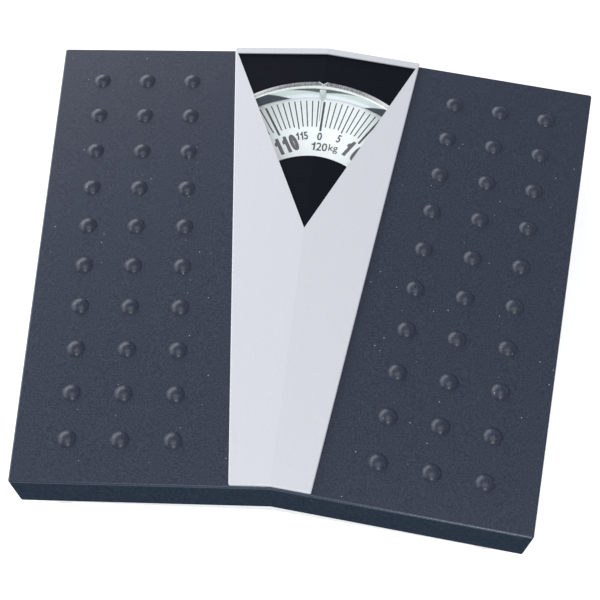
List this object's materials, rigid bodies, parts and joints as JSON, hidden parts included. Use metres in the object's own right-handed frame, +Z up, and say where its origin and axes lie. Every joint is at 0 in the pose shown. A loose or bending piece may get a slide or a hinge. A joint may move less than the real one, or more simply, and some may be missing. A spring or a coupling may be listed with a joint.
{
  "type": "bathroom scale",
  "caption": "Mechanical bathroom scale: chevron platform with raised domes and a silver centre bezel, levers and a main spring, and a dial turned by rack and pinion under a window.",
  "frame": {"origin": "on the floor, under the middle of the overall box", "axes": "+Z up, +Y towards the dial end, +X to the right of the person who stands on it"},
  "size_m": [0.2952, 0.2702, 0.05],
  "materials": {
    "cover_paint": "matte, finely grained",
    "bezel_paint": "satin silver",
    "mask": "gloss black",
    "clear": "clear",
    "dial": "matte white, printed",
    "base_paint": "matte",
    "rubber": "matte",
    "brass": "turned",
    "black_plastic": "matte",
    "spring_steel": "bright",
    "bright_steel": "ground",
    "zinc": "zinc plated, pressed"
  },
  "bodies": {
    "base": {"base_pan": "base_paint", "foot_front_right": "rubber", "foot_front_left": "rubber", "foot_rear_right": "rubber", "foot_rear_left": "rubber", "fulcrum_bracket_front_right": "zinc", "fulcrum_bracket_front_left": "zinc", "fulcrum_bracket_rear_right": "zinc", "fulcrum_bracket_rear_left": "zinc", "spring_bridge": "zinc", "dial_bridge": "zinc", "dial_bushing": "brass", "crank_bracket": "zinc", "crank_pivot_pin": "bright_steel", "hold_down_spring_right": "spring_steel", "hold_down_spring_left": "spring_steel", "rack_return_spring": "spring_steel"},
    "platform": {"platform_cover": "cover_paint", "centre_bezel": "bezel_paint", "bezel_push_nut_1": "spring_steel", "bezel_push_nut_2": "spring_steel", "bezel_push_nut_3": "spring_steel", "bezel_push_nut_4": "spring_steel", "dial_mask": "mask", "dial_lens": "clear", "dial_index": "clear", "platform_seat_front_right": "zinc", "platform_seat_front_left": "zinc", "platform_seat_rear_right": "zinc", "platform_seat_rear_left": "zinc"},
    "long_lever": {"long_lever": "zinc", "fulcrum_pin_front_right": "bright_steel", "fulcrum_pin_front_left": "bright_steel", "load_pin_front_right": "bright_steel", "load_pin_front_left": "bright_steel"},
    "short_lever_right": {"short_lever_right": "zinc", "fulcrum_pin_rear_right": "bright_steel", "load_pin_rear_right": "bright_steel"},
    "short_lever_left": {"short_lever_left": "zinc", "fulcrum_pin_rear_left": "bright_steel", "load_pin_rear_left": "bright_steel"},
    "calibrating_plate": {"calibrating_plate": "zinc"},
    "bell_crank": {"bell_crank": "zinc"},
    "rack": {"rack": "brass"},
    "dial": {"dial_disc": "dial", "dial_hub": "black_plastic", "dial_clip": "black_plastic", "dial_pinion": "brass"},
    "zero_adjuster": {"adjuster_screw": "bright_steel", "zero_thumbwheel": "black_plastic"},
    "spring_hanger": {"spring_hanger": "brass", "main_spring": "spring_steel"}
  },
  "joints": [
    {"name": "platform_press", "type": "slide", "parent": "base", "child": "platform", "axis": [0, 0, -1], "range_m": [0, 0.0008], "deforming": ["hold_down_spring_right", "hold_down_spring_left"]},
    {"name": "long_lever_tilt", "type": "hinge", "parent": "base", "child": "long_lever", "pos_m": [0, -0.11405, 0.019], "axis": [-1, 0, 0], "range_deg": [0, 2.3]},
    {"name": "short_lever_right_tilt", "type": "hinge", "parent": "base", "child": "short_lever_right", "pos_m": [0.10604, 0.10005, 0.019], "axis": [1, 0, 0], "range_deg": [0, 2.3]},
    {"name": "short_lever_left_tilt", "type": "hinge", "parent": "base", "child": "short_lever_left", "pos_m": [-0.10604, 0.10005, 0.019], "axis": [1, 0, 0], "range_deg": [0, 2.3]},
    {"name": "calibrating_plate_drop", "type": "slide", "parent": "base", "child": "calibrating_plate", "axis": [0, 0, -1], "range_m": [0, 0.00801], "stiffness_N_per_m": 14700, "springref_m": -0.0003, "deforming": ["main_spring"]},
    {"name": "crank_swing", "type": "hinge", "parent": "base", "child": "bell_crank", "pos_m": [0.015, 0.09595, 0.0155], "axis": [-1, 0, 0], "range_deg": [0, 70.1]},
    {"name": "rack_slide", "type": "slide", "parent": "base", "child": "rack", "axis": [0, 1, 0], "range_m": [0, 0.01722], "deforming": ["rack_return_spring"]},
    {"name": "dial_turn", "type": "hinge", "parent": "base", "child": "dial", "pos_m": [0, 0.0442, 0.035], "axis": [0, 0, 1], "range_deg": [0, 360.2]},
    {"name": "zero_adjust_turn", "type": "hinge", "parent": "base", "child": "zero_adjuster", "pos_m": [0, 0.12075, 0.01], "axis": [0, 0, 1], "range_deg": [-360.2, 360.2]},
    {"name": "hanger_lift", "type": "slide", "parent": "base", "child": "spring_hanger", "axis": [0, 0, 1], "range_m": [-0.001, 0.001]}
  ],
  "couplings": [
    {"joint": "long_lever_tilt", "follows": "platform_press", "rad_per_m": 50.003},
    {"joint": "short_lever_right_tilt", "follows": "platform_press", "rad_per_m": 50.003},
    {"joint": "short_lever_left_tilt", "follows": "platform_press", "rad_per_m": 50.003},
    {"joint": "calibrating_plate_drop", "follows": "platform_press", "ratio": 10},
    {"joint": "crank_swing", "follows": "platform_press", "rad_per_m": 1527.2},
    {"joint": "rack_slide", "follows": "platform_press", "ratio": 21.509},
    {"joint": "dial_turn", "follows": "platform_press", "rad_per_m": 7854},
    {"joint": "zero_adjust_turn", "follows": "hanger_lift", "rad_per_m": 6283.2}
  ]
}
